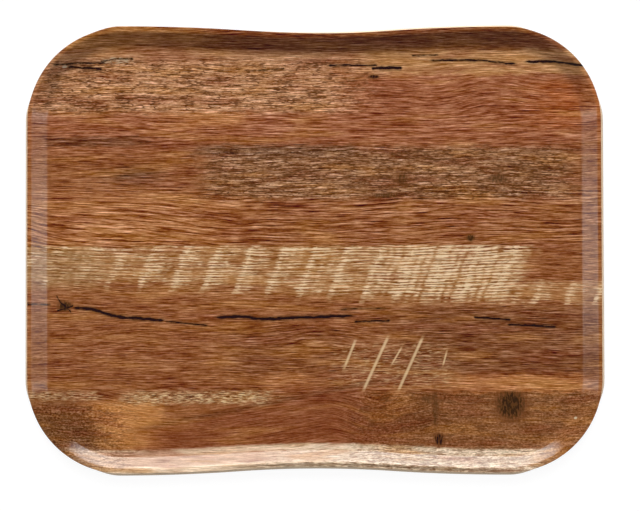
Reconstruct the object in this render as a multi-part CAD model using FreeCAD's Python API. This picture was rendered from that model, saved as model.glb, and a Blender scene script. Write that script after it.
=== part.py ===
"""Serving tray pressed from eight glued sheets, one node for each sheet.

The frame has +X along the tray, +Y across it and +Z up. The origin is the middle of the
flat underside that the tray stands on.

Every sheet follows one rim section, which runs outwards from the fold line:
floor, fold (an arc), wall (straight), bend (an arc), lip (straight), leaning cut edge.
The fold line is a smooth closed outline of arcs and two straight lines.
"""

import FreeCAD
import Part
import math
import os

os.makedirs("parts", exist_ok=True)

# Plan, measured at the outermost point of the cut edge (mm)
LENGTH = 457.2
WIDTH = 355.6
CORNER_RADIUS = 76.2
WAIST_DEPTH = 5.2        # how far the middle of a long side draws in
WAIST_HALF_SPAN = 60.0   # half the length of the inward-curving stretch

# Rim section, measured on the top face (mm and degrees)
INNER_DEPTH = 12.0       # floor to the top of the lip
FOLD_RADIUS = 8.0
WALL_ANGLE = 46.0
BEND_RADIUS = 4.0
LIP_ANGLE = 9.0
LIP_LENGTH = 1.6
CUT_LEAN = 34.0          # from upright: the foot of the cut edge stands further out

# The sheets from the top down, each with its thickness (mm)
SHEETS = (
    ("overlay_film", 0.10),
    ("decor_sheet", 0.20),
    ("face_veneer", 0.54),
    ("upper_cross_veneer", 0.54),
    ("core_veneer", 0.54),
    ("lower_cross_veneer", 0.54),
    ("back_veneer", 0.54),
    ("backing_sheet", 0.20),
)

UP = FreeCAD.Vector(0, 0, 1)
SEW_TOLERANCE = 1e-4
THICKNESS = sum(thickness for _, thickness in SHEETS)
WALL = math.radians(WALL_ANGLE)
LIP = math.radians(LIP_ANGLE)
CUT = math.radians(CUT_LEAN)

# Rise of the wall's straight stretch is what the fold, the bend and the lip leave
FOLD_RISE = FOLD_RADIUS * (1 - math.cos(WALL))
BEND_RISE = BEND_RADIUS * (math.cos(LIP) - math.cos(WALL))
LIP_RISE = LIP_LENGTH * math.sin(LIP)
WALL_LENGTH = (INNER_DEPTH - FOLD_RISE - BEND_RISE - LIP_RISE) / math.sin(WALL)

# Reach of the rim from the fold line out to the foot of the cut edge
REACH = (
    FOLD_RADIUS * math.sin(WALL)
    + WALL_LENGTH * math.cos(WALL)
    + BEND_RADIUS * (math.sin(WALL) - math.sin(LIP))
    + LIP_LENGTH * math.cos(LIP)
    + THICKNESS * math.sin(CUT) / math.cos(CUT - LIP)
)

# Arcs of the outline. The waist arc and a shoulder arc meet in one tangent, and the
# shoulder arc meets the corner arc where both run along the tray.
CORNER_X = LENGTH / 2 - CORNER_RADIUS
CORNER_Y = WIDTH / 2 - CORNER_RADIUS
RADII_SUM = (CORNER_X ** 2 + WAIST_DEPTH ** 2) / (2 * WAIST_DEPTH)
WAIST_RADIUS = RADII_SUM * WAIST_HALF_SPAN / CORNER_X
SHOULDER_RADIUS = RADII_SUM - WAIST_RADIUS
WAIST_Y = WIDTH / 2 - WAIST_DEPTH + WAIST_RADIUS
SHOULDER_Y = WIDTH / 2 - SHOULDER_RADIUS
SWING = math.degrees(math.asin(CORNER_X / RADII_SUM))


def along(angle):
    """Unit vector (outwards, up) of a stretch that rises at this angle."""
    return FreeCAD.Vector(math.cos(angle), 0, math.sin(angle))


def below(angle):
    """Unit vector that points square out of the underside of such a stretch."""
    return FreeCAD.Vector(math.sin(angle), 0, -math.cos(angle))


def section_points(depth):
    """Corners and arc middles of the section, at a depth below the top face.

    X is the distance outwards from the fold line and Z the height.
    """
    fold_centre = FreeCAD.Vector(0, 0, THICKNESS + FOLD_RADIUS)
    fold_radius = FOLD_RADIUS + depth
    wall_foot = fold_centre + below(WALL) * fold_radius
    wall_top = wall_foot + along(WALL) * WALL_LENGTH
    bend_centre = wall_top + below(WALL) * (BEND_RADIUS - depth)
    bend_radius = BEND_RADIUS - depth
    lip_foot = bend_centre - below(LIP) * bend_radius
    lip_end = lip_foot + along(LIP) * (LIP_LENGTH + depth * math.tan(CUT - LIP))
    return {
        "floor": fold_centre + below(0) * fold_radius,
        "fold": fold_centre + below(WALL / 2) * fold_radius,
        "wall_foot": wall_foot,
        "wall_top": wall_top,
        "bend": bend_centre - below((WALL + LIP) / 2) * bend_radius,
        "lip_foot": lip_foot,
        "lip_end": lip_end,
    }


def section_wire(top_depth, low_depth):
    """Open wire round one sheet's rim: out along its top, down the cut, back below."""
    top = section_points(top_depth)
    low = section_points(low_depth)
    return Part.Wire([
        Part.Arc(top["floor"], top["fold"], top["wall_foot"]).toShape(),
        Part.makeLine(top["wall_foot"], top["wall_top"]),
        Part.Arc(top["wall_top"], top["bend"], top["lip_foot"]).toShape(),
        Part.makeLine(top["lip_foot"], top["lip_end"]),
        Part.makeLine(top["lip_end"], low["lip_end"]),
        Part.makeLine(low["lip_end"], low["lip_foot"]),
        Part.Arc(low["lip_foot"], low["bend"], low["wall_top"]).toShape(),
        Part.makeLine(low["wall_top"], low["wall_foot"]),
        Part.Arc(low["wall_foot"], low["fold"], low["floor"]).toShape(),
    ])


def placed(section, start, outward_angle):
    """The section standing on the fold line at start, facing outwards."""
    turn = FreeCAD.Rotation(UP, outward_angle)
    moved = section.copy()
    moved.Placement = FreeCAD.Placement(start, turn)
    return moved


def arc_rim(section, centre, radius, outward_angle, sweep):
    """Rim along an outline arc. Its radius is negative where the outline draws in."""
    outward = FreeCAD.Rotation(UP, outward_angle).multVec(FreeCAD.Vector(1, 0, 0))
    start = centre + outward * (radius - REACH)
    return placed(section, start, outward_angle).revolve(centre, UP, sweep)


def half_rim(section):
    """Rim of the +X side and the +Y side, from the -Y end of the one to the -X end."""
    side_start = FreeCAD.Vector(LENGTH / 2 - REACH, -CORNER_Y, 0)
    side = placed(section, side_start, 0).extrude(FreeCAD.Vector(0, 2 * CORNER_Y, 0))
    right_corner = FreeCAD.Vector(CORNER_X, CORNER_Y, 0)
    left_corner = FreeCAD.Vector(-CORNER_X, CORNER_Y, 0)
    right_shoulder = FreeCAD.Vector(CORNER_X, SHOULDER_Y, 0)
    left_shoulder = FreeCAD.Vector(-CORNER_X, SHOULDER_Y, 0)
    waist = FreeCAD.Vector(0, WAIST_Y, 0)
    return [
        side,
        arc_rim(section, right_corner, CORNER_RADIUS, 0, 90),
        arc_rim(section, right_shoulder, SHOULDER_RADIUS, 90, SWING),
        arc_rim(section, waist, -WAIST_RADIUS, 90 + SWING, -2 * SWING),
        arc_rim(section, left_shoulder, SHOULDER_RADIUS, 90 - SWING, SWING),
        arc_rim(section, left_corner, CORNER_RADIUS, 90, 90),
    ]


def full_rim(section):
    """Both halves of the rim, as a list of faces."""
    half = half_rim(section)
    other_half = [piece.copy() for piece in half]
    for piece in other_half:
        piece.rotate(FreeCAD.Vector(0, 0, 0), UP, 180)
    return [face for piece in half + other_half for face in piece.Faces]


def fold_line(height):
    """Closed outline of the flat floor at this height."""
    at_height = FreeCAD.Vector(0, 0, height)
    foot = Part.Vertex(at_height)
    edges = [edge for piece in half_rim(foot) for edge in piece.Edges]
    other_edges = [edge.copy() for edge in edges]
    for edge in other_edges:
        edge.rotate(FreeCAD.Vector(0, 0, 0), UP, 180)
    return Part.Wire(Part.__sortEdges__(edges + other_edges))


def sheet(top_depth, low_depth):
    """One whole sheet between two depths below the tray's top face."""
    faces = full_rim(section_wire(top_depth, low_depth))
    for depth in (top_depth, low_depth):
        faces.append(Part.Face(fold_line(THICKNESS - depth)))
    shell = Part.Shell(faces)
    shell.sewShape(SEW_TOLERANCE)
    solid = Part.Solid(Part.Shell(shell.Faces))
    if solid.Volume < 0:
        solid.reverse()
    return solid


def main():
    """Write one file for each sheet, and print its volume in cubic centimetres."""
    top_depth = 0.0
    for name, thickness in SHEETS:
        low_depth = top_depth + thickness
        solid = sheet(top_depth, low_depth)
        solid.exportStep(f"parts/{name}.step")
        box = solid.optimalBoundingBox()
        print(name, solid.isValid(), round(solid.Volume / 1000, 2), "cm3,",
              f"{box.XLength:.2f} x {box.YLength:.2f} x {box.ZLength:.2f} mm")
        top_depth = low_depth
    print("rim reach", round(REACH, 2), "waist radius", round(WAIST_RADIUS, 1),
          "shoulder radius", round(SHOULDER_RADIUS, 1), "wall", round(WALL_LENGTH, 2))


main()
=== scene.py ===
"""Looks of a pressed laminate serving tray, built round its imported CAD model.

Lengths are metres unless a name or a note says millimetres. The frame is the CAD's: +X along
the tray, +Y across it, +Z up, and the origin in the middle of the flat underside.
"""

import math

import bpy
from mathutils import Matrix, Vector


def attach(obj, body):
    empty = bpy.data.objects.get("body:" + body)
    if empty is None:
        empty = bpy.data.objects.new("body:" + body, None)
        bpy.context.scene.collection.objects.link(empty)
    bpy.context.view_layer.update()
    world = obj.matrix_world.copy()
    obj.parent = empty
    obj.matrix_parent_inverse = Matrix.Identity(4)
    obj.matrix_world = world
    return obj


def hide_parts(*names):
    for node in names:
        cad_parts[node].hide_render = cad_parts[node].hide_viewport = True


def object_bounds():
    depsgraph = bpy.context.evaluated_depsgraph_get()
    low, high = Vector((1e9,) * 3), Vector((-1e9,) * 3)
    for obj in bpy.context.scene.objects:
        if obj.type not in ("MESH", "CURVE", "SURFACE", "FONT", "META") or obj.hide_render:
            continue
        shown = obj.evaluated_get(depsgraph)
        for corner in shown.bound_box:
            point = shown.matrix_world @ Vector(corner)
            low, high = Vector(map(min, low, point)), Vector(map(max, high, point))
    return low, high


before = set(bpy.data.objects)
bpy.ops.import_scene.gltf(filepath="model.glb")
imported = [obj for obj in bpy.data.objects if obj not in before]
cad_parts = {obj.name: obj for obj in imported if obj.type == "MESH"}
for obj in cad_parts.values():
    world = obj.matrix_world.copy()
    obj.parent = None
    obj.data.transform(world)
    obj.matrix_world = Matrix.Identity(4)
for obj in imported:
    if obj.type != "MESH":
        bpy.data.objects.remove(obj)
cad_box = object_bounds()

MM = 0.001

# ---------------------------------------------------------------- the tray's dimensions

LENGTH = cad_box[1].x - cad_box[0].x
WIDTH = cad_box[1].y - cad_box[0].y
CORNER_RADIUS = 76.2 * MM
WAIST_DEPTH = 5.2 * MM        # how far the middle of a long side draws in
WAIST_HALF_SPAN = 60.0 * MM   # half the length of the inward-curving stretch
INNER_DEPTH = 12.0 * MM       # floor to the top of the lip
FOLD_RADIUS = 8.0 * MM        # this and the bend radius are the top face's
BEND_RADIUS = 4.0 * MM
LIP_LENGTH = 1.6 * MM
THICKNESS = 3.2 * MM
WALL = math.radians(46.0)     # slope of the wall
LIP = math.radians(9.0)       # slope of the lip
CUT = math.radians(34.0)      # lean of the cut edge from upright

# Sheets from the top down: piece, material slot, CAD nodes it stands for, thickness, easing
VENEER = 0.54 * MM
LAMINATE_EASE = 0.12 * MM
GLUE_LINE = 0.03 * MM
SHEETS = (
    ("printed_face", "decor", ("overlay_film", "decor_sheet"), 0.30 * MM, LAMINATE_EASE),
    ("face_veneer_sheet", "veneer_along", ("face_veneer",), VENEER, GLUE_LINE),
    ("upper_cross_sheet", "veneer_across", ("upper_cross_veneer",), VENEER, GLUE_LINE),
    ("core_sheet", "veneer_along", ("core_veneer",), VENEER, GLUE_LINE),
    ("lower_cross_sheet", "veneer_across", ("lower_cross_veneer",), VENEER, GLUE_LINE),
    ("back_veneer_sheet", "veneer_along", ("back_veneer",), VENEER, GLUE_LINE),
    ("backing", "backing", ("backing_sheet",), 0.20 * MM, LAMINATE_EASE / 2),
)

WALL_LENGTH = (
    INNER_DEPTH
    - FOLD_RADIUS * (1 - math.cos(WALL))
    - BEND_RADIUS * (math.cos(LIP) - math.cos(WALL))
    - LIP_LENGTH * math.sin(LIP)
) / math.sin(WALL)
CUT_SPREAD = THICKNESS * math.sin(CUT) / math.cos(CUT - LIP)   # plan width of the cut edge
REACH = (
    FOLD_RADIUS * math.sin(WALL)
    + WALL_LENGTH * math.cos(WALL)
    + BEND_RADIUS * (math.sin(WALL) - math.sin(LIP))
    + LIP_LENGTH * math.cos(LIP)
    + CUT_SPREAD
)

CORNER_X = LENGTH / 2 - CORNER_RADIUS
CORNER_Y = WIDTH / 2 - CORNER_RADIUS
RADII_SUM = (CORNER_X ** 2 + WAIST_DEPTH ** 2) / (2 * WAIST_DEPTH)
WAIST_RADIUS = RADII_SUM * WAIST_HALF_SPAN / CORNER_X
SHOULDER_RADIUS = RADII_SUM - WAIST_RADIUS
WAIST_Y = WIDTH / 2 - WAIST_DEPTH + WAIST_RADIUS
SHOULDER_Y = WIDTH / 2 - SHOULDER_RADIUS
SWING = math.asin(CORNER_X / RADII_SUM)

# Mesh steps along each stretch of the outline and of the rim section
SIDE_STEPS = 20
CORNER_STEPS = 30
SHOULDER_STEPS = 12
WAIST_STEPS = 20
FOLD_STEPS = 10
WALL_STEPS = 4
BEND_STEPS = 8
LIP_STEPS = 2
FLAT_MARGIN = 1.0 * MM        # width of the flat ring just inside the fold line
FLOOR_RINGS = (0.75, 0.5, 0.25)


# ---------------------------------------------------------------- shape of the sheets

def arc_stations(centre_x, centre_y, radius, start, sweep, steps):
    """Fold line points and outward directions along an outline arc."""
    stations = []
    for step in range(steps):
        angle = start + sweep * step / steps
        outward = Vector((math.cos(angle), math.sin(angle)))
        point = Vector((centre_x, centre_y)) + outward * (radius - REACH)
        stations.append((point, outward))
    return stations


def half_outline():
    """Stations of the +X side and the +Y side, from the -Y end of the one to the -X end."""
    quarter = math.pi / 2
    stations = []
    for step in range(SIDE_STEPS):
        height = CORNER_Y * (2 * step / SIDE_STEPS - 1)
        stations.append((Vector((LENGTH / 2 - REACH, height)), Vector((1, 0))))
    for centre_x, centre_y, radius, start, sweep, steps in (
        (CORNER_X, CORNER_Y, CORNER_RADIUS, 0, quarter, CORNER_STEPS),
        (CORNER_X, SHOULDER_Y, SHOULDER_RADIUS, quarter, SWING, SHOULDER_STEPS),
        (0, WAIST_Y, -WAIST_RADIUS, quarter + SWING, -2 * SWING, WAIST_STEPS),
        (-CORNER_X, SHOULDER_Y, SHOULDER_RADIUS, quarter - SWING, SWING, SHOULDER_STEPS),
        (-CORNER_X, CORNER_Y, CORNER_RADIUS, quarter, quarter, CORNER_STEPS),
    ):
        stations += arc_stations(centre_x, centre_y, radius, start, sweep, steps)
    return stations


def outline():
    """Stations once round the tray, anticlockwise seen from above."""
    half = half_outline()
    return half + [(-point, -outward) for point, outward in half]


def ease(value, start, end):
    """Smooth step from 0 at start to 1 at end."""
    share = min(1, max(0, (value - start) / (end - start)))
    return share * share * (3 - 2 * share)


def cut_shape(point, outward):
    """Lean of the cut edge (1 is the full lean) and trim of its foot, as the router left it.

    The router ran upright round the corners and along half of the +Y side.
    """
    in_corner = ease(abs(2 * outward.x * outward.y), 0.1, 0.7)
    lean = 0.92 + 0.08 * outward.x
    if outward.y > 0:
        lean -= outward.y * (0.72 - 0.52 * ease(point.x, -0.06, 0.03))
    return lean * (1 - in_corner), in_corner


def along(angle):
    """Unit vector (outwards, up) of a stretch that rises at this angle."""
    return Vector((math.cos(angle), math.sin(angle)))


def below(angle):
    """Unit vector that points square out of the underside of such a stretch."""
    return Vector((math.sin(angle), -math.cos(angle)))


def rim_line(depth, lean, trim):
    """Rim section (outwards, up) from the fold line to the cut, at a depth below the top."""
    fold_centre = Vector((0, THICKNESS + FOLD_RADIUS))
    fold_radius = FOLD_RADIUS + depth
    wall_foot = fold_centre + below(WALL) * fold_radius
    wall_top = wall_foot + along(WALL) * WALL_LENGTH
    bend_radius = BEND_RADIUS - depth
    bend_centre = wall_top + below(WALL) * bend_radius
    lip_foot = bend_centre - below(LIP) * bend_radius
    top_length = LIP_LENGTH + CUT_SPREAD * (1 - lean - trim) / math.cos(LIP)
    lip_length = top_length + depth * math.tan(CUT * lean - LIP)
    highest = THICKNESS + INNER_DEPTH - depth * math.cos(CUT) / math.cos(CUT - LIP)
    line = []
    for step in range(FOLD_STEPS):
        line.append(fold_centre + below(WALL * step / FOLD_STEPS) * fold_radius)
    for step in range(WALL_STEPS):
        line.append(wall_foot.lerp(wall_top, step / WALL_STEPS))
    for step in range(BEND_STEPS):
        angle = WALL + (LIP - WALL) * step / BEND_STEPS
        line.append(bend_centre - below(angle) * bend_radius)
    for step in range(LIP_STEPS + 1):
        spot = lip_foot + along(LIP) * (lip_length * step / LIP_STEPS)
        line.append(Vector((spot.x, min(spot.y, highest))))
    return line


def run_lengths(line):
    """Distance of each point of a line from its start, measured along it."""
    lengths = [0.0]
    for start, end in zip(line, line[1:]):
        lengths.append(lengths[-1] + (end - start).length)
    return lengths


def eased_cut(top_line, low_line, easing):
    """The two lines with the sheet's corners eased where they meet the cut."""
    top_end = top_line[-1]
    low_end = low_line[-1]
    down = (low_end - top_end).normalized() * easing
    inwards = along(LIP) * -easing
    return (
        top_line[:-1] + [top_end + inwards, top_end + down],
        low_line[:-1] + [low_end + inwards, low_end - down],
    )


def sheet_section(top_depth, low_depth, easing, station):
    """Closed section of a sheet's rim: (outwards, up, run from the fold line) triples."""
    lean, trim = cut_shape(*station)
    top_line, low_line = eased_cut(
        rim_line(top_depth, lean, trim), rim_line(low_depth, lean, trim), easing
    )
    top = [(spot.x, spot.y, run) for spot, run in zip(top_line, run_lengths(top_line))]
    low = [(spot.x, spot.y, run) for spot, run in zip(low_line, run_lengths(low_line))]
    return top + low[::-1]


class SheetMesh:
    """Points and faces of one sheet, with each point's place on the sheet when flat."""

    def __init__(self):
        self.points = []
        self.flat_places = []
        self.faces = []

    def add_ring(self, spots, height):
        """One closed ring of points at a height. Gives the number of its first point."""
        first = len(self.points)
        for spot in spots:
            self.points.append((spot.x, spot.y, height))
            self.flat_places.append((spot.x, spot.y, height))
        return first

    def join_rings(self, outer, inner, count, facing_up):
        """Quads between two rings of the floor."""
        for index in range(count):
            after = (index + 1) % count
            face = (outer + index, outer + after, inner + after, inner + index)
            self.faces.append(face if facing_up else face[::-1])

    def add_floor(self, stations, rim_start, rim_stride, height, facing_up):
        """Flat floor inside the fold line, whose points the rim already has."""
        count = len(stations)
        edge = [rim_start + index * rim_stride for index in range(count)]
        ring = self.add_ring([p - o * FLAT_MARGIN for p, o in stations], height)
        for index in range(count):
            after = (index + 1) % count
            face = (edge[index], edge[after], ring + after, ring + index)
            self.faces.append(face if facing_up else face[::-1])
        for share in FLOOR_RINGS:
            inner = self.add_ring([(p - o * FLAT_MARGIN) * share for p, o in stations], height)
            self.join_rings(ring, inner, count, facing_up)
            ring = inner
        centre = self.add_ring([Vector((0, 0))], height)
        for index in range(count):
            face = (ring + index, ring + (index + 1) % count, centre)
            self.faces.append(face if facing_up else face[::-1])

    def add_rim(self, stations, sections):
        """Rim faces round the whole outline. Gives the number of points in a section."""
        stride = len(sections[0])
        for (point, outward), section in zip(stations, sections):
            for reach, height, run in section:
                spot = point + outward * reach
                flat = point + outward * run
                self.points.append((spot.x, spot.y, height))
                self.flat_places.append((flat.x, flat.y, height))
        count = len(stations)
        for index in range(count):
            here = index * stride
            there = (index + 1) % count * stride
            for step in range(stride - 1):
                self.faces.append((here + step, here + step + 1, there + step + 1, there + step))
        return stride

    def build(self, name):
        """The mesh as an object, smooth along its curves and sharp at its edges."""
        mesh = bpy.data.meshes.new(name)
        mesh.from_pydata(self.points, [], self.faces)
        places = mesh.attributes.new("flat_place", "FLOAT_VECTOR", "POINT")
        places.data.foreach_set("vector", [part for place in self.flat_places for part in place])
        mesh.polygons.foreach_set("use_smooth", [True] * len(mesh.polygons))
        mesh.set_sharp_from_angle(angle=math.radians(30))
        mesh.update()
        piece = bpy.data.objects.new(name, mesh)
        bpy.context.scene.collection.objects.link(piece)
        return piece


def make_sheet(name, top_depth, low_depth, easing):
    """One whole sheet between two depths below the tray's top face."""
    stations = outline()
    sheet = SheetMesh()
    sections = [sheet_section(top_depth, low_depth, easing, place) for place in stations]
    stride = sheet.add_rim(stations, sections)
    sheet.add_floor(stations, 0, stride, THICKNESS - top_depth, True)
    sheet.add_floor(stations, stride - 1, stride, THICKNESS - low_depth, False)
    return sheet.build(name)


# ---------------------------------------------------------------- shader nets

class Term:
    """A value inside a shader. Arithmetic on it adds Math nodes to its net."""

    def __init__(self, net, socket):
        self.net = net
        self.socket = socket

    def __add__(self, other):
        return self.net.math("ADD", self, other)

    def __sub__(self, other):
        return self.net.math("SUBTRACT", self, other)

    def __mul__(self, other):
        return self.net.math("MULTIPLY", self, other)

    def __rsub__(self, other):
        return self.net.math("SUBTRACT", other, self)

    def __abs__(self):
        return self.net.math("ABSOLUTE", self)


class Net:
    """A material's node tree, with short ways to add nodes to it."""

    def __init__(self, name):
        self.material = bpy.data.materials.new(name)
        self.material.use_nodes = True
        self.tree = self.material.node_tree
        self.tree.nodes.clear()
        self.seeds = 0

    def add(self, kind, inputs, output=0, **settings):
        """A node with these inputs, each a constant or a Term. Gives one of its outputs."""
        node = self.tree.nodes.new(kind)
        for name, value in settings.items():
            setattr(node, name, value)
        for key, value in inputs.items():
            if isinstance(value, Term):
                self.tree.links.new(value.socket, node.inputs[key])
            else:
                node.inputs[key].default_value = value
        return Term(self, node.outputs[output])

    def math(self, operation, *values):
        """A Math node on these values."""
        return self.add("ShaderNodeMath", dict(enumerate(values)), operation=operation)

    def smooth(self, value, start, end):
        """Smooth step from 0 where value is start to 1 where it is end."""
        inputs = {"Value": value, "From Min": start, "From Max": end}
        return self.add("ShaderNodeMapRange", inputs, interpolation_type="SMOOTHSTEP")

    def band(self, value, low, high, soft):
        """1 between low and high, fading over the distance soft at both ends."""
        return self.smooth(value, low - soft / 2, low + soft / 2) * self.smooth(
            value, high + soft / 2, high - soft / 2
        )

    def vector(self, x, y):
        """Two values as one vector."""
        return self.add("ShaderNodeCombineXYZ", {0: x, 1: y})

    def noise(self, place, length, width, detail=2.0, roughness=0.5):
        """Soft noise round 0 with patches of about this length and width."""
        self.seeds += 1
        shift = (17.3 * self.seeds, -9.7 * self.seeds, 0)
        scale = (1 / length, 1 / width, 1)
        moved = self.add("ShaderNodeMapping", {0: place, 1: shift, 3: scale})
        inputs = {"Vector": moved, "Scale": 1.0, "Detail": detail, "Roughness": roughness}
        value = self.add("ShaderNodeTexNoise", inputs, noise_dimensions="2D")
        return value - 0.5

    def curve(self, share, points):
        """A smooth curve through (share, value) points, both from 0 to 1."""
        term = self.add("ShaderNodeFloatCurve", {"Value": share})
        node = term.socket.node
        curve = node.mapping.curves[0]
        for spot, (place, value) in zip((curve.points[0], curve.points[1]), (points[0], points[-1])):
            spot.location = (place, value)
        for place, value in points[1:-1]:
            curve.points.new(place, value)
        node.mapping.update()
        return term

    def tint(self, colour, other, share):
        """Colour moved towards another one by this share."""
        inputs = {0: share, 6: colour, 7: other}
        return self.add("ShaderNodeMix", inputs, 2, data_type="RGBA")

    def lift(self, colour, amount):
        """Colour with this amount of white added, or taken away below 0."""
        inputs = {0: amount, 6: colour, 7: (1.0, 1.0, 1.0, 1.0)}
        return self.add(
            "ShaderNodeMix", inputs, 2, data_type="RGBA", blend_type="ADD", clamp_factor=False
        )

    def flat_place(self):
        """Place on the flattened sheet in millimetres, as (x, y)."""
        term = self.add("ShaderNodeAttribute", {}, 1, attribute_name="flat_place")
        parts = self.add("ShaderNodeSeparateXYZ", {0: term}).socket.node.outputs
        return Term(self, parts[0]) * (1 / MM), Term(self, parts[1]) * (1 / MM)

    def finish(self, linked, fixed):
        """Principled shader with these linked inputs and these constants."""
        node = self.add("ShaderNodeBsdfPrincipled", {**linked, **fixed})
        output = self.tree.nodes.new("ShaderNodeOutputMaterial")
        self.tree.links.new(node.socket, output.inputs["Surface"])
        return self.material


def shade(red, green, blue):
    """A colour from its screen values of 0 to 255."""
    return (red / 255, green / 255, blue / 255, 1.0)


# ---------------------------------------------------------------- the printed wood

SCREEN_GAMMA = 2.2
GLOSS_LIFT = 0.008            # light that the gloss adds everywhere, kept out of the print

BROWN = shade(148, 91, 53)
REDDISH = shade(157, 95, 62)
GOLDEN = shade(172, 114, 58)
RUSSET = shade(128, 68, 40)
ROUGH_TAN = shade(190, 137, 97)
ORANGE = shade(184, 121, 72)
OCHRE = shade(202, 138, 82)
GREY_TAN = shade(151, 107, 73)
OLIVE_TAN = shade(166, 124, 80)
GOLD_TAN = shade(192, 140, 92)
FLAME = shade(172, 92, 42)
SAWN = shade(168, 116, 69)
FIBRE_WHITE = shade(240, 211, 172)
DARK_BROWN = shade(117, 72, 43)
SMOKE_BROWN = shade(98, 64, 42)
KNOT_DARK = shade(60, 42, 24)
CRACK_DARK = shade(48, 28, 14)
# Painted shade: the darker brown of the +Y wall, which faces away from the back light
SHADED_WALL_BROWN = shade(120, 66, 30)
# Painted shade: the darker brown of the wall in the -X, -Y corner
SHADED_CORNER_BROWN = shade(104, 70, 42)
BURL_BROWN = shade(144, 98, 62)
PORE_DARK = shade(84, 50, 28)
SPLINTER_GREY = shade(196, 178, 150)
# The next three are the -Y wall's tones: a cream of bleached board and painted sheen together, a
# paler cream of painted highlight, and a pink of painted sheen
CREAM = shade(210, 188, 160)
HIGHLIGHT_CREAM = shade(240, 216, 186)
PINK_SHEEN = shade(190, 152, 120)
WORN_PALE = shade(240, 214, 168)

# All places on the print are millimetres along and across the tray from its middle.
# Patches: tone, (left, right, low, high), softness (along, across), strength
UPPER_PATCHES = (
    (ROUGH_TAN, (-230, 24, 110, 160), (60, 8), 0.95),
    (ORANGE, (-128, -54, 96, 110), (30, 6), 0.8),
    (GOLD_TAN, (34, 244, 140, 162), (40, 5), 0.95),
    (FLAME, (178, 260, 98, 134), (50, 8), 0.6),
    (GREY_TAN, (-87, 205, 41, 82), (36, 7), 0.85),
    (SMOKE_BROWN, (-95, 30, 75, 84), (30, 5), 0.6),
    (SMOKE_BROWN, (-216, -134, 83, 91), (30, 4), 0.5),
    (ORANGE, (-235, -52, 2, 46), (50, 10), 0.5),
)
LOWER_PATCHES = (
    (DARK_BROWN, (60, 235, -100, -44), (80, 16), 0.65),
    (DARK_BROWN, (-70, 30, -100, -62), (40, 10), 0.35),
    (ORANGE, (112, 216, -113, -99), (24, 4), 0.95),
    (OCHRE, (-178, -122, -158, -120), (24, 7), 0.95),
    (ORANGE, (-40, -4, -112, -97), (24, 5), 0.6),
    (BURL_BROWN, (30, 260, -175, -114), (40, 2), 0.7),
)

# Splits in the wood: half width, and points along the split
CRACKS = (
    (0.9, ((-214, 150), (-190, 149.6), (-163, 150))),
    (0.8, ((-173, 150), (-160, 152.4), (-142, 153))),
    (1.1, ((-199, 146.5), (-184, 146), (-167, 144.5))),
    (0.9, ((8, 147), (30, 147.4), (54, 147))),
    (1.5, ((44, 144.4), (58, 145.2), (72, 144.6))),
    (0.5, ((-47, 143.3), (-22, 145))),
    (0.6, ((76, 155), (101, 155.4))),
    (1.0, ((87, 150.5), (124, 151.3), (148, 149.3), (167, 147.3))),
    (1.3, ((163, 149.8), (200, 149.7), (219, 148.1), (236, 148.2))),
    (1.5, ((-197, -45.6), (-184, -45.8), (-157, -52.3), (-134, -54.5), (-114, -56.2))),
    (0.7, ((-122, -56), (-100, -58.2), (-82, -60))),
    (1.5, ((-87, -55.2), (-59, -52.8), (-42, -54.5), (-8, -53.4), (38, -52))),
    (0.9, ((29, -57.1), (45, -56.6), (62, -55.9))),
    (0.5, ((17, -47.4), (42, -46.5), (60, -46.4))),
    (1.1, ((124, -53.4), (137, -54.5), (158, -55.6))),
    (1.1, ((150, -59.4), (168, -60.1), (195, -61.8))),
    (0.8, ((-236, -42), (-208, -43))),
    (1.0, ((-206, -34), (-203, -40), (-197, -44.5))),
    (0.9, ((-206, -47.5), (-199, -46), (-191, -43))),
    (0.8, ((-202, -42), (-196, -46.5), (-193, -50))),
)
CRACK_TAPER = 2.5             # the higher, the more slowly a crack narrows to its ends

# Knots: place, half length, half width, colour of the heart, strength
KNOTS = (
    (69.7, 56.7, 4.6, 4.2, KNOT_DARK, 0.5),
    (146, 56.7, 8, 3.4, KNOT_DARK, 0.55),
    (56, 43.4, 11, 1.8, KNOT_DARK, 0.5),
    (124, 9.4, 3.2, 2.2, KNOT_DARK, 0.9),
    (47.3, 138.2, 3.6, 1.4, CRACK_DARK, 1.0),
    (-198.9, -44, 4.4, 3.4, KNOT_DARK, 0.95),
    (98.4, -150.5, 3.6, 4.4, CRACK_DARK, 0.95),
    (91, -118, 6, 4, KNOT_DARK, 0.35),
    (95.6, -127, 2.4, 13, KNOT_DARK, 0.4),
)

# Straight scratches: both ends, half width
SCRATCHES = (
    ((32, -72.3), (23, -94.2), 1.7),
    ((57.7, -70), (38.6, -111), 1.9),
    ((85.6, -69.5), (66.5, -111), 1.9),
    ((68.9, -77.5), (60.9, -91), 1.2),
    ((104.7, -80.7), (101.5, -92.6), 1.2),
)

SAW_PITCH = 25.7              # between the slanting marks of the sawn band
SAW_SLANT = 0.37              # how far a mark leans along the tray for each step across it


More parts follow.
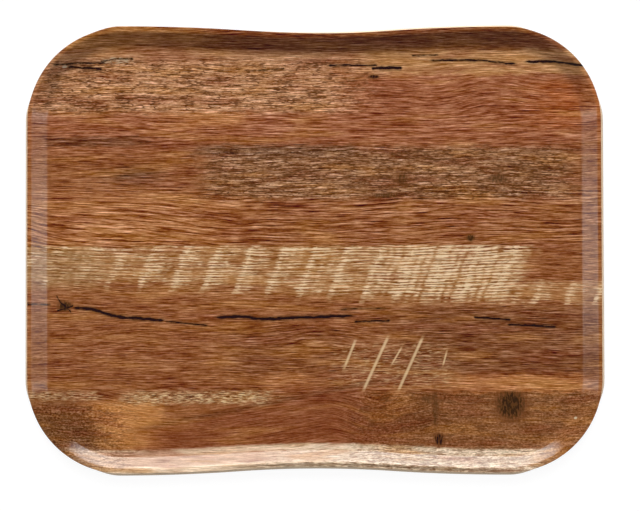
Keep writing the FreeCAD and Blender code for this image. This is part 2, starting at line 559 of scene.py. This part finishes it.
class WoodPrint:
    """Colour of the printed reclaimed-wood picture, with painted light and shade on some of its
    walls. Lengths here are millimetres.

    Colours are mixed as they look on a screen and turned into light values at the end.
    """

    def __init__(self, net):
        self.net = net
        self.x, self.y = net.flat_place()
        self.place = net.vector(self.x, self.y)
        self.ragged = net.noise(self.place, 9, 2.2) * 7
        self.band_drop = net.smooth(self.x, -190, 120) * -12   # the sawn band widens downwards
        self.bend_grain()
        self.grain_place = net.vector(self.x, self.grain_y)

    def spot(self, x, y, half_length, half_width):
        """Distance from a spot as a share of its half length and half width."""
        return self.net.add(
            "ShaderNodeVectorMath",
            {0: self.net.vector((self.x - x) * (1 / half_length), (self.y - y) * (1 / half_width))},
            "Value",
            operation="LENGTH",
        )

    def area(self, box, softness):
        """1 inside a box (left, right, low, high) with a ragged border, 0 outside."""
        net = self.net
        left, right, low, high = box
        inside = net.band(self.x + self.ragged * 4, left, right, softness[0])
        return inside * net.band(self.y + self.ragged, low, high, softness[1])

    def add_patches(self, colour, patches):
        """Colour with these patches of tone laid over it in turn."""
        for tone, box, softness, strength in patches:
            colour = self.net.tint(colour, tone, self.area(box, softness) * strength)
        return colour

    def bend_grain(self):
        """Grain height: y, moved where the grain wanders, arches or runs downhill."""
        net, x, y = self.net, self.x, self.y
        bent = y + net.noise(self.place, 170, 60, detail=1) * 9
        bent = bent + net.noise(self.place, 42, 14, detail=1) * 1.2
        arch = net.smooth(abs(x - 140), 54, 0) * net.band(y, 112, 146, 22)
        bent = bent - arch * 6
        downhill = net.band(y, 9, 48, 30) * net.smooth(x, -40, -90)
        bent = bent + downhill * (x + 60) * 0.07
        swirl = net.smooth(abs(x - 5), 62, 0) * net.band(y, -76, -54, 14)
        bent = bent - swirl * 5
        fan = net.smooth(x, 10, 60) * net.smooth(x, 96, 88) * net.band(y, -148, -118, 16)
        bent = bent + fan * (92 - x) * 0.34
        lifted = net.band(x, -130, 60, 110) * net.band(y, -152, -116, 26)
        self.grain_y = bent - lifted * (x + 36) * 0.13

    def upper_tones(self):
        """Broad patches of tone above the sawn band, with painted light on the end walls and painted
        shade on the +Y wall.
        """
        net, x, y = self.net, self.x, self.y
        colour = net.tint(BROWN, REDDISH, net.smooth(y + self.ragged, 66, 96))
        colour = self.add_patches(colour, UPPER_PATCHES)
        smoke = self.spot(-144, 60, 30, 9) + self.ragged * 0.12
        colour = net.tint(colour, SMOKE_BROWN, net.smooth(smoke, 1.2, 0.2) * 0.65)
        # Painted light: the two end walls lightened towards orange, as they get less light than the
        # floor
        colour = net.tint(colour, ORANGE, net.smooth(abs(x), 211, 217) * 0.3)
        top_wall = net.smooth(y + self.ragged * 0.3, 156, 162)
        colour = net.tint(colour, GOLDEN, top_wall * net.smooth(x, -30, -90) * 0.8)
        # Painted shade: most of the +Y wall darkened with brown, as that wall faces away from the
        # light
        return net.tint(colour, SHADED_WALL_BROWN, top_wall * net.band(x, -90, 190, 110) * 0.8)

    def lower_tones(self, colour):
        """Broad patches of tone below the sawn band, with painted shade in the -X, -Y corner and
        painted sheen up the -Y wall.
        """
        net, x, y = self.net, self.x, self.y
        colour = self.add_patches(colour, LOWER_PATCHES)
        cloud = net.smooth(self.spot(66, -134, 42, 13), 1.2, 0.5)
        colour = net.tint(colour, DARK_BROWN, cloud * 0.6)
        above = y + self.ragged * 0.5 - x * 0.2 + 114
        slope = net.band(x, -136, 70, 40)
        colour = net.tint(colour, RUSSET, net.smooth(above, 2, -4) * slope * 0.6)
        colour = net.tint(colour, DARK_BROWN, net.smooth(abs(above), 3.5, 0) * slope * 0.7)
        # Painted shade: the wall in the -X, -Y corner darkened with brown
        corner = net.smooth(self.spot(-220, -172, 66, 60), 1.15, 0.5)
        colour = net.tint(colour, SHADED_CORNER_BROWN, corner * 0.8)
        return self.bleached_edge_and_sheen(colour)

    def bleached_edge_and_sheen(self, colour):
        """The -Y wall from the fold line up: cream bleached board with painted sheen over it, pinker
        towards -X, a painted highlight near the fold and the top, and split at the lip.
        """
        net, x = self.net, self.x
        waist_fold = (WIDTH / 2 - WAIST_DEPTH - REACH) / MM
        fold = net.smooth(abs(x), 0, CORNER_X / MM) * (-WAIST_DEPTH / MM) - waist_fold
        past_fold = fold - self.y + self.ragged * 0.25
        ends = net.smooth(x + self.ragged * 2, 200, 166) * net.smooth(x, -212, -170)
        # Painted sheen from the fold line up: pink towards -X, where the board itself is plain
        # brown, and cream towards +X, where the board is bleached too
        tone = net.tint(PINK_SHEEN, CREAM, net.smooth(x + self.ragged * 4, -60, 20))
        colour = net.tint(colour, tone, net.smooth(past_fold, -1.5, 1.5) * ends * 0.9)
        # Painted highlight: a paler cream just past the fold line, and from near the top of the wall
        # out to the edge
        painted_highlight = net.smooth(past_fold, 15.5, 18.5) + net.band(past_fold, 0.5, 5, 3) * 0.6
        colour = net.tint(colour, HIGHLIGHT_CREAM, painted_highlight * ends * 0.75)
        torn = net.noise(self.place, 7, 1.5, roughness=0.7)
        torn = net.smooth(torn, 0.0, 0.12) * net.smooth(past_fold, 3, 6) * net.smooth(x, -80, 0)
        colour = net.tint(colour, DARK_BROWN, torn * ends * 0.5)
        split = net.band(past_fold + self.ragged * 0.3, 19.0, 21.5, 1.2) * net.band(x, -60, 160, 50)
        return net.tint(colour, KNOT_DARK, split * 0.45)

    def ridges(self, period, wander):
        """Fine growth lines: 1 on each line, 0 half a period away, broken up along them."""
        net = self.net
        height = self.grain_y + net.noise(self.grain_place, 45, period * 1.8, detail=1) * wander
        return net.math("PINGPONG", height, period / 2) * (2 / period)

    def rough_share(self):
        """1 where the board is weathered and its fibres have broken up."""
        net = self.net
        top = self.area((-230, 40, 110, 152), (60, 8))
        middle = self.area((-87, 205, 41, 82), (36, 7))
        return net.math("MAXIMUM", net.math("MAXIMUM", top, middle), self.speckled * 0.7)

    def speckled_share(self):
        """1 in the -Y corners, where the figure is short and speckled."""
        left = self.area((-235, -150, -180, -122), (30, 10))
        return left + self.area((30, 240, -180, -113), (30, 2)) * 0.8

    def grain(self, colour):
        """Hue drift, long streaks, ring lines and fine fibres laid over the tones."""
        net = self.net
        hue = net.noise(self.grain_place, 60, 9, detail=1)
        colour = net.tint(colour, GOLDEN, net.smooth(hue, 0.02, 0.25) * 0.5)
        colour = net.tint(colour, RUSSET, net.smooth(hue, -0.02, -0.25) * 0.45)
        broad = net.noise(self.grain_place, 130, 8, detail=1)
        streaks = net.noise(self.grain_place, 46, 1.7, roughness=0.6)
        lines = net.band(self.y, 2, 52, 16) + net.band(self.y, 84, 116, 12) * 0.5
        calm = 1 - net.smooth(self.y + self.ragged, -110, -122) * 0.35 - self.speckled * 0.25
        tone = broad * 0.16 + streaks * (lines * 0.36 + self.rough * 0.16 + 0.23)
        fine = net.noise(self.grain_place, 17, 0.62, roughness=0.7)
        tone = tone + fine * (self.rough * 0.25 + 0.95)
        growth = net.smooth(self.ridges(2.9, 6), 0.0, 0.6) - 0.7
        tone = tone + growth * (lines * 0.10 + 0.06)
        colour = net.lift(colour, tone * calm)
        coarse = net.noise(self.place, 3.2, 1.1, roughness=0.7)
        colour = net.lift(colour, coarse * (self.rough * 0.30 + 0.17))
        speckle = net.noise(self.place, 1.9, 1.2, roughness=0.7)
        colour = net.lift(colour, speckle * self.speckled * 0.5)
        pores = net.noise(self.grain_place, 15, 0.8, roughness=0.65)
        colour = net.tint(colour, PORE_DARK, net.smooth(pores, 0.1, 0.2) * (self.rough * 0.4 + 0.22))
        fissures = abs(net.noise(self.place, 26, 4.2, detail=3, roughness=0.6))
        depth = net.smooth(fissures, 0.05, 0.01) * (self.rough * 0.6 + 0.08)
        return net.tint(colour, PORE_DARK, depth)

    def band_share(self):
        """1 inside the pale sawn band across the middle, with its tail down the +X end."""
        net, x, y = self.net, self.x, self.y
        top = net.smooth(y + self.ragged * 0.12, 4.4, 2.8)
        low = net.smooth(y + self.ragged * 1.3 - self.band_drop + 29, -7, 6)
        main = top * low * net.smooth(x - y * 0.4 + self.ragged * 3, 184, 160)
        tail = self.area((150, 260, -44, -26), (20, 6))
        return net.math("MAXIMUM", main, tail * 0.85)

    def sawn_tone(self, colour):
        """Ground tone of the sawn band, olive at its left end."""
        net = self.net
        tone = net.tint(SAWN, OLIVE_TAN, net.smooth(self.x, -150, -190))
        return net.tint(colour, tone, self.sawn * 0.75)

    def saw_marks(self, colour):
        """Whitish torn fibres of the sawn band, trailing off to the right of slanting marks."""
        net, x, y = self.net, self.x, self.y
        slant = x - (y + 18) * SAW_SLANT + net.noise(self.place, 24, 9, detail=1) * 5 - 19.4
        slant = slant - net.smooth(x, 140, 180) * 9
        stroke = net.smooth(net.math("PINGPONG", slant, SAW_PITCH / 2), 3.6, 0.4)
        trail = net.smooth(net.math("WRAP", slant, SAW_PITCH, 0.0), 19, 3)
        teeth = net.math("PINGPONG", slant + self.ragged * 0.3, 3.2) * 0.3 - 0.48
        white = net.smooth(x, 40, 84) * net.smooth(x - y * 0.4, 196, 166)
        left = net.smooth(x, -190, -100)
        patches = net.noise(self.place, 14, 8)
        foot = net.smooth(y - self.band_drop, -16, -32) * (stroke - 0.7)
        strength = white * 0.30 + stroke * (left * 0.40 + 0.05) + trail * (left * 0.22 + 0.05)
        strength = strength + patches * 1.0 + teeth * (white * 0.5 + 0.1) + foot * 0.5 + 0.31
        lines = net.smooth(self.ridges(2.5, 3), 0.35, 0.9)
        torn = net.noise(self.grain_place, 8, 0.65, roughness=0.7)
        share = strength * (lines * 1.15 + 0.2) + torn * (strength * 2.6 + 0.7)
        return net.tint(colour, FIBRE_WHITE, net.smooth(share, 0.0, 0.95) * self.sawn)

    def crack(self, points, half_width):
        """Depth inside a crack in millimetres: above 0 in it, below 0 outside."""
        net = self.net
        start, end = points[0][0], points[-1][0]
        low = min(height for _, height in points)
        span = max(height for _, height in points) - low + 0.01
        share = (self.x - start) * (1 / (end - start))
        spots = [((px - start) / (end - start), (py - low) / span) for px, py in points]
        line = net.curve(share, spots) * span + low
        inside = net.smooth(share * (1 - share), 0, 0.1)
        width = inside * (self.splinters + (half_width + CRACK_TAPER)) - CRACK_TAPER
        return width - abs(self.y + self.ragged * 0.2 - line)

    def cracks(self, colour):
        """Dark open splits, most of them in one long broken line."""
        net = self.net
        self.splinters = net.noise(self.place, 6, 1.6, roughness=0.6) * 1.6 - 0.35
        depth = None
        for half_width, points in CRACKS:
            deeper = self.crack(points, half_width)
            depth = deeper if depth is None else net.math("MAXIMUM", depth, deeper)
        colour = net.tint(colour, KNOT_DARK, net.smooth(depth, -1.8, 0.2) * 0.35)
        colour = self.pale_splinters(colour)
        return net.tint(colour, CRACK_DARK, net.smooth(depth, -0.3, 0.4))

    def pale_splinters(self, colour):
        """Torn grey fibres beside the split in the -X, +Y corner, and one pale chip."""
        net = self.net
        fibres = net.noise(self.place, 5, 0.8, roughness=0.6)
        torn = net.smooth(self.spot(-158, 151.6, 17, 3.2), 1.1, 0.6) * net.smooth(fibres, -0.05, 0.1)
        tip = net.smooth(self.spot(-199.5, 147.2, 2.6, 1.2), 1.2, 0.6)
        chip = net.smooth(self.spot(207, -134, 1.6, 1.2), 1.2, 0.6)
        return net.tint(colour, SPLINTER_GREY, net.math("MAXIMUM", torn * 0.75, tip + chip))

    def knot(self, colour, x, y, half_length, half_width, dark, share):
        """A knot: a dark ragged heart, checked with fine cracks, and a softer ring round it."""
        net = self.net
        distance = self.spot(x, y, half_length, half_width) + self.checks * 0.9
        colour = net.tint(colour, DARK_BROWN, net.smooth(distance, 1.9, 0.8) * share * 0.85)
        heart = net.smooth(distance, 1.25, 0.5) * share
        return net.tint(colour, dark, heart * (net.smooth(self.checks, 0.1, -0.06) * 0.6 + 0.4))

    def knots(self, colour):
        """The knots. Their checks run across the grain, and the biggest ends at a board's edge."""
        self.checks = self.net.noise(self.place, 1.5, 4.5, roughness=0.65)
        for x, y, half_length, half_width, dark, strength in KNOTS:
            colour = self.knot(colour, x, y, half_length, half_width, dark, strength)
        below_joint = self.net.smooth(self.y, -111.5, -113.5)
        return self.knot(colour, 155.3, -123, 10.5, 11, KNOT_DARK, below_joint)

    def scratch(self, start, end, half_width):
        """Share of a straight scratch between two points."""
        net = self.net
        run = Vector(end) - Vector(start)
        ahead = run.normalized()
        from_x = self.x - start[0]
        from_y = self.y - start[1]
        forward = from_x * ahead.x + from_y * ahead.y
        aside = from_x * -ahead.y + from_y * ahead.x
        reach = net.band(forward + self.ragged * 0.8, 0, run.length, 8)
        return reach * net.smooth(abs(aside), half_width, half_width * 0.2)

    def worn(self, colour):
        """Pale scratches and worn streaks in the lower half."""
        net = self.net
        fibres = net.noise(self.grain_place, 8, 0.8, roughness=0.6)
        scratches = None
        for start, end, half_width in SCRATCHES:
            share = self.scratch(start, end, half_width)
            scratches = share if scratches is None else net.math("MAXIMUM", scratches, share)
        bright = self.area((16, 110, -110, -74), (26, 12)) * net.smooth(fibres, 0.02, 0.2)
        strong = net.math("MAXIMUM", scratches * 0.75, bright * 0.6)
        long_streak = self.area((-152, -34, -122, -112), (20, 5))
        short_streak = self.area((-240, -170, -119, -112), (16, 4))
        streak = net.math("MAXIMUM", long_streak, short_streak * 0.8)
        torn = net.noise(self.place, 7, 0.6, roughness=0.7)
        colour = net.tint(colour, KNOT_DARK, streak * net.smooth(torn, -0.06, -0.2) * 0.7)
        strong = net.math("MAXIMUM", strong, streak * net.smooth(torn, -0.06, 0.16) * 0.9)
        return net.tint(colour, WORN_PALE, strong)

    def colour(self):
        """The whole picture, as light values for the shader."""
        self.sawn = self.band_share()
        self.speckled = self.speckled_share()
        self.rough = self.rough_share()
        colour = self.lower_tones(self.upper_tones())
        colour = self.sawn_tone(colour)
        colour = self.grain(colour)
        colour = self.saw_marks(colour)
        colour = self.worn(colour)
        colour = self.knots(colour)
        colour = self.cracks(colour)
        light = self.net.add("ShaderNodeGamma", {0: colour, 1: SCREEN_GAMMA})
        return self.net.lift(light, -GLOSS_LIFT)


def printed_face_material():
    """Printed paper under a clear, semi-gloss melamine film."""
    net = Net("printed wood under film")
    colour = WoodPrint(net).colour()
    return net.finish({"Base Color": colour}, {"Roughness": 0.17, "IOR": 1.5})


def veneer_material(name, grain_direction):
    """Birch veneer: long pale fibres along the grain, darker pores where it is cut across."""
    net = Net(name)
    x, y = net.flat_place()
    place = net.vector(x, y)
    along_x = grain_direction == "x"
    length, width = (14, 0.9) if along_x else (0.9, 14)
    fibres = net.noise(place, length, width)
    normal = net.add("ShaderNodeNewGeometry", {}, "Normal")
    parts = net.add("ShaderNodeSeparateXYZ", {0: normal}).socket.node.outputs
    facing = Term(net, parts[0 if along_x else 1])
    end_grain = facing * facing
    colour = net.lift(shade(233, 208, 176), fibres * 0.25)
    colour = net.tint(colour, shade(190, 150, 112), end_grain * 0.5)
    colour = net.add("ShaderNodeGamma", {0: colour, 1: SCREEN_GAMMA})
    return net.finish({"Base Color": colour}, {"Roughness": 0.62})


def backing_material():
    """Plain dark brown balancing laminate with a fine pressed texture."""
    net = Net("brown backing laminate")
    x, y = net.flat_place()
    place = net.vector(x, y)
    mottle = net.noise(place, 24, 18)
    pimples = net.noise(place, 0.9, 0.8, detail=1)
    colour = net.lift(shade(74, 50, 36), mottle * 0.10 + pimples * 0.10)
    colour = net.add("ShaderNodeGamma", {0: colour, 1: SCREEN_GAMMA})
    bump = net.add("ShaderNodeBump", {"Height": pimples, "Distance": 0.05 * MM, "Strength": 0.6})
    linked = {"Base Color": colour, "Roughness": mottle * 0.2 + 0.46, "Normal": bump}
    return net.finish(linked, {"IOR": 1.5})


# ---------------------------------------------------------------- pieces

materials = {
    "decor": printed_face_material(),
    "veneer_along": veneer_material("birch along the tray", "x"),
    "veneer_across": veneer_material("birch across the tray", "y"),
    "backing": backing_material(),
}

top_depth = 0.0
for name, slot, nodes, thickness, easing in SHEETS:
    piece = make_sheet(name, top_depth, top_depth + thickness, easing)
    piece.data.materials.append(materials[slot])
    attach(piece, "root")
    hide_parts(*nodes)
    top_depth += thickness


# ---------------------------------------------------------------- floor, light and camera

STUDIO_HALF = 9.0             # half the studio's width, and its height

CAMERA_LENS = 112.95          # millimetres, as is the sensor's width
CAMERA_SENSOR = 36.0
CAMERA_AIM = Vector((4.2 * MM, -4.6 * MM, 15.2 * MM))
CAMERA_PLACE = CAMERA_AIM + Vector((0, -41.5 * MM, 1.5847))
CAMERA_ROLL = math.radians(-0.15)


def floor_material():
    """Matt pale ground that glows a little, so that it stays near white in every view."""
    net = Net("pale studio floor")
    place = net.add("ShaderNodeTexCoord", {}, "Object")
    mottle = net.noise(place, 0.4, 0.4)
    colour = net.lift(shade(104, 104, 104), mottle * 0.02)
    colour = net.add("ShaderNodeGamma", {0: colour, 1: SCREEN_GAMMA})
    constants = {
        "Roughness": 0.9,
        "Specular IOR Level": 0.1,
        "Emission Color": (1, 1, 1, 1),
        "Emission Strength": 0.93,
    }
    return net.finish({"Base Color": colour}, constants)


def stage_piece(name, points, faces, material):
    """A part of the studio that stands round the tray."""
    mesh = bpy.data.meshes.new(name)
    mesh.from_pydata(points, [], faces)
    mesh.materials.append(material)
    piece = bpy.data.objects.new(name, mesh)
    bpy.context.scene.collection.objects.link(piece)
    return piece


def make_studio():
    """Square floor, and a wall round it that only fills the view behind the tray."""
    material = floor_material()
    corners = [(-1, -1), (1, -1), (1, 1), (-1, 1)]
    foot = [(x * STUDIO_HALF, y * STUDIO_HALF, 0) for x, y in corners]
    head = [(x, y, STUDIO_HALF) for x, y, _ in foot]
    sides = [(side, (side + 1) % 4, (side + 1) % 4 + 4, side + 4) for side in range(4)]
    stage_piece("studio_floor", foot, [(0, 1, 2, 3)], material)
    walls = stage_piece("studio_walls", foot + head, sides, material)
    walls.visible_glossy = False
    walls.visible_diffuse = False


def aimed(place, target, roll=0.0):
    """World matrix at a place, looking at a target. A steep view has the world's +Y up in it."""
    back = (Vector(place) - Vector(target)).normalized()
    up = Vector((0, 1, 0)) if abs(back.z) > 0.9 else Vector((0, 0, 1))
    right = up.cross(back).normalized()
    up = back.cross(right)
    turn = Matrix((right, up, back)).transposed().to_4x4()
    return Matrix.Translation(place) @ turn @ Matrix.Rotation(roll, 4, "Z")


def softbox(name, place, target, size, radiance, shape="RECTANGLE"):
    """Flat light that the camera doesn't see. At a radiance of 1 it would look white."""
    light = bpy.data.lights.new(name, "AREA")
    light.shape = shape
    light.size, light.size_y = size
    fill = 1 if shape == "RECTANGLE" else math.pi / 4
    light.energy = radiance * math.pi * size[0] * size[1] * fill
    box = bpy.data.objects.new(name, light)
    box.matrix_world = aimed(place, target)
    box.visible_camera = False
    bpy.context.scene.collection.objects.link(box)
    return box


def make_lights():
    """A big back light that is too soft to mirror in the folds, and strips that do mirror."""
    main = softbox("back_softbox", (0, 2.4, 2.57), (0, 0, 0), (3.3, 3.3), 4.8, "ELLIPSE")
    main.visible_glossy = False
    softbox("horizon_strip", (0, 3.3, 0.26), (0, 0, 0), (3.5, 0.5), 3.2)
    softbox("wide_horizon_strip", (0, 3.31, 0.26), (0, 0, 0), (4.3, 0.5), 4.8)
    softbox("left_strip", (-3.7, 0.13, 1.75), (0, 0, 0.1), (0.46, 3.4), 3.0)
    softbox("right_strip", (3.7, 0.12, 1.75), (0, 0, 0.1), (0.48, 3.4), 2.8)
    world = bpy.data.worlds.new("studio")
    world.use_nodes = True
    background = world.node_tree.nodes["Background"]
    background.inputs["Color"].default_value = (1, 1, 1, 1)
    background.inputs["Strength"].default_value = 0.19
    bpy.context.scene.world = world


def make_camera():
    """Camera almost straight above the tray, a little towards -Y."""
    camera_data = bpy.data.cameras.new("camera")
    camera_data.lens = CAMERA_LENS
    camera_data.sensor_width = CAMERA_SENSOR
    camera_data.clip_end = 50
    camera = bpy.data.objects.new("camera", camera_data)
    camera.matrix_world = aimed(CAMERA_PLACE, CAMERA_AIM, CAMERA_ROLL)
    bpy.context.scene.collection.objects.link(camera)
    bpy.context.scene.camera = camera


make_studio()
make_lights()
make_camera()
bpy.context.scene.view_settings.view_transform = "Standard"
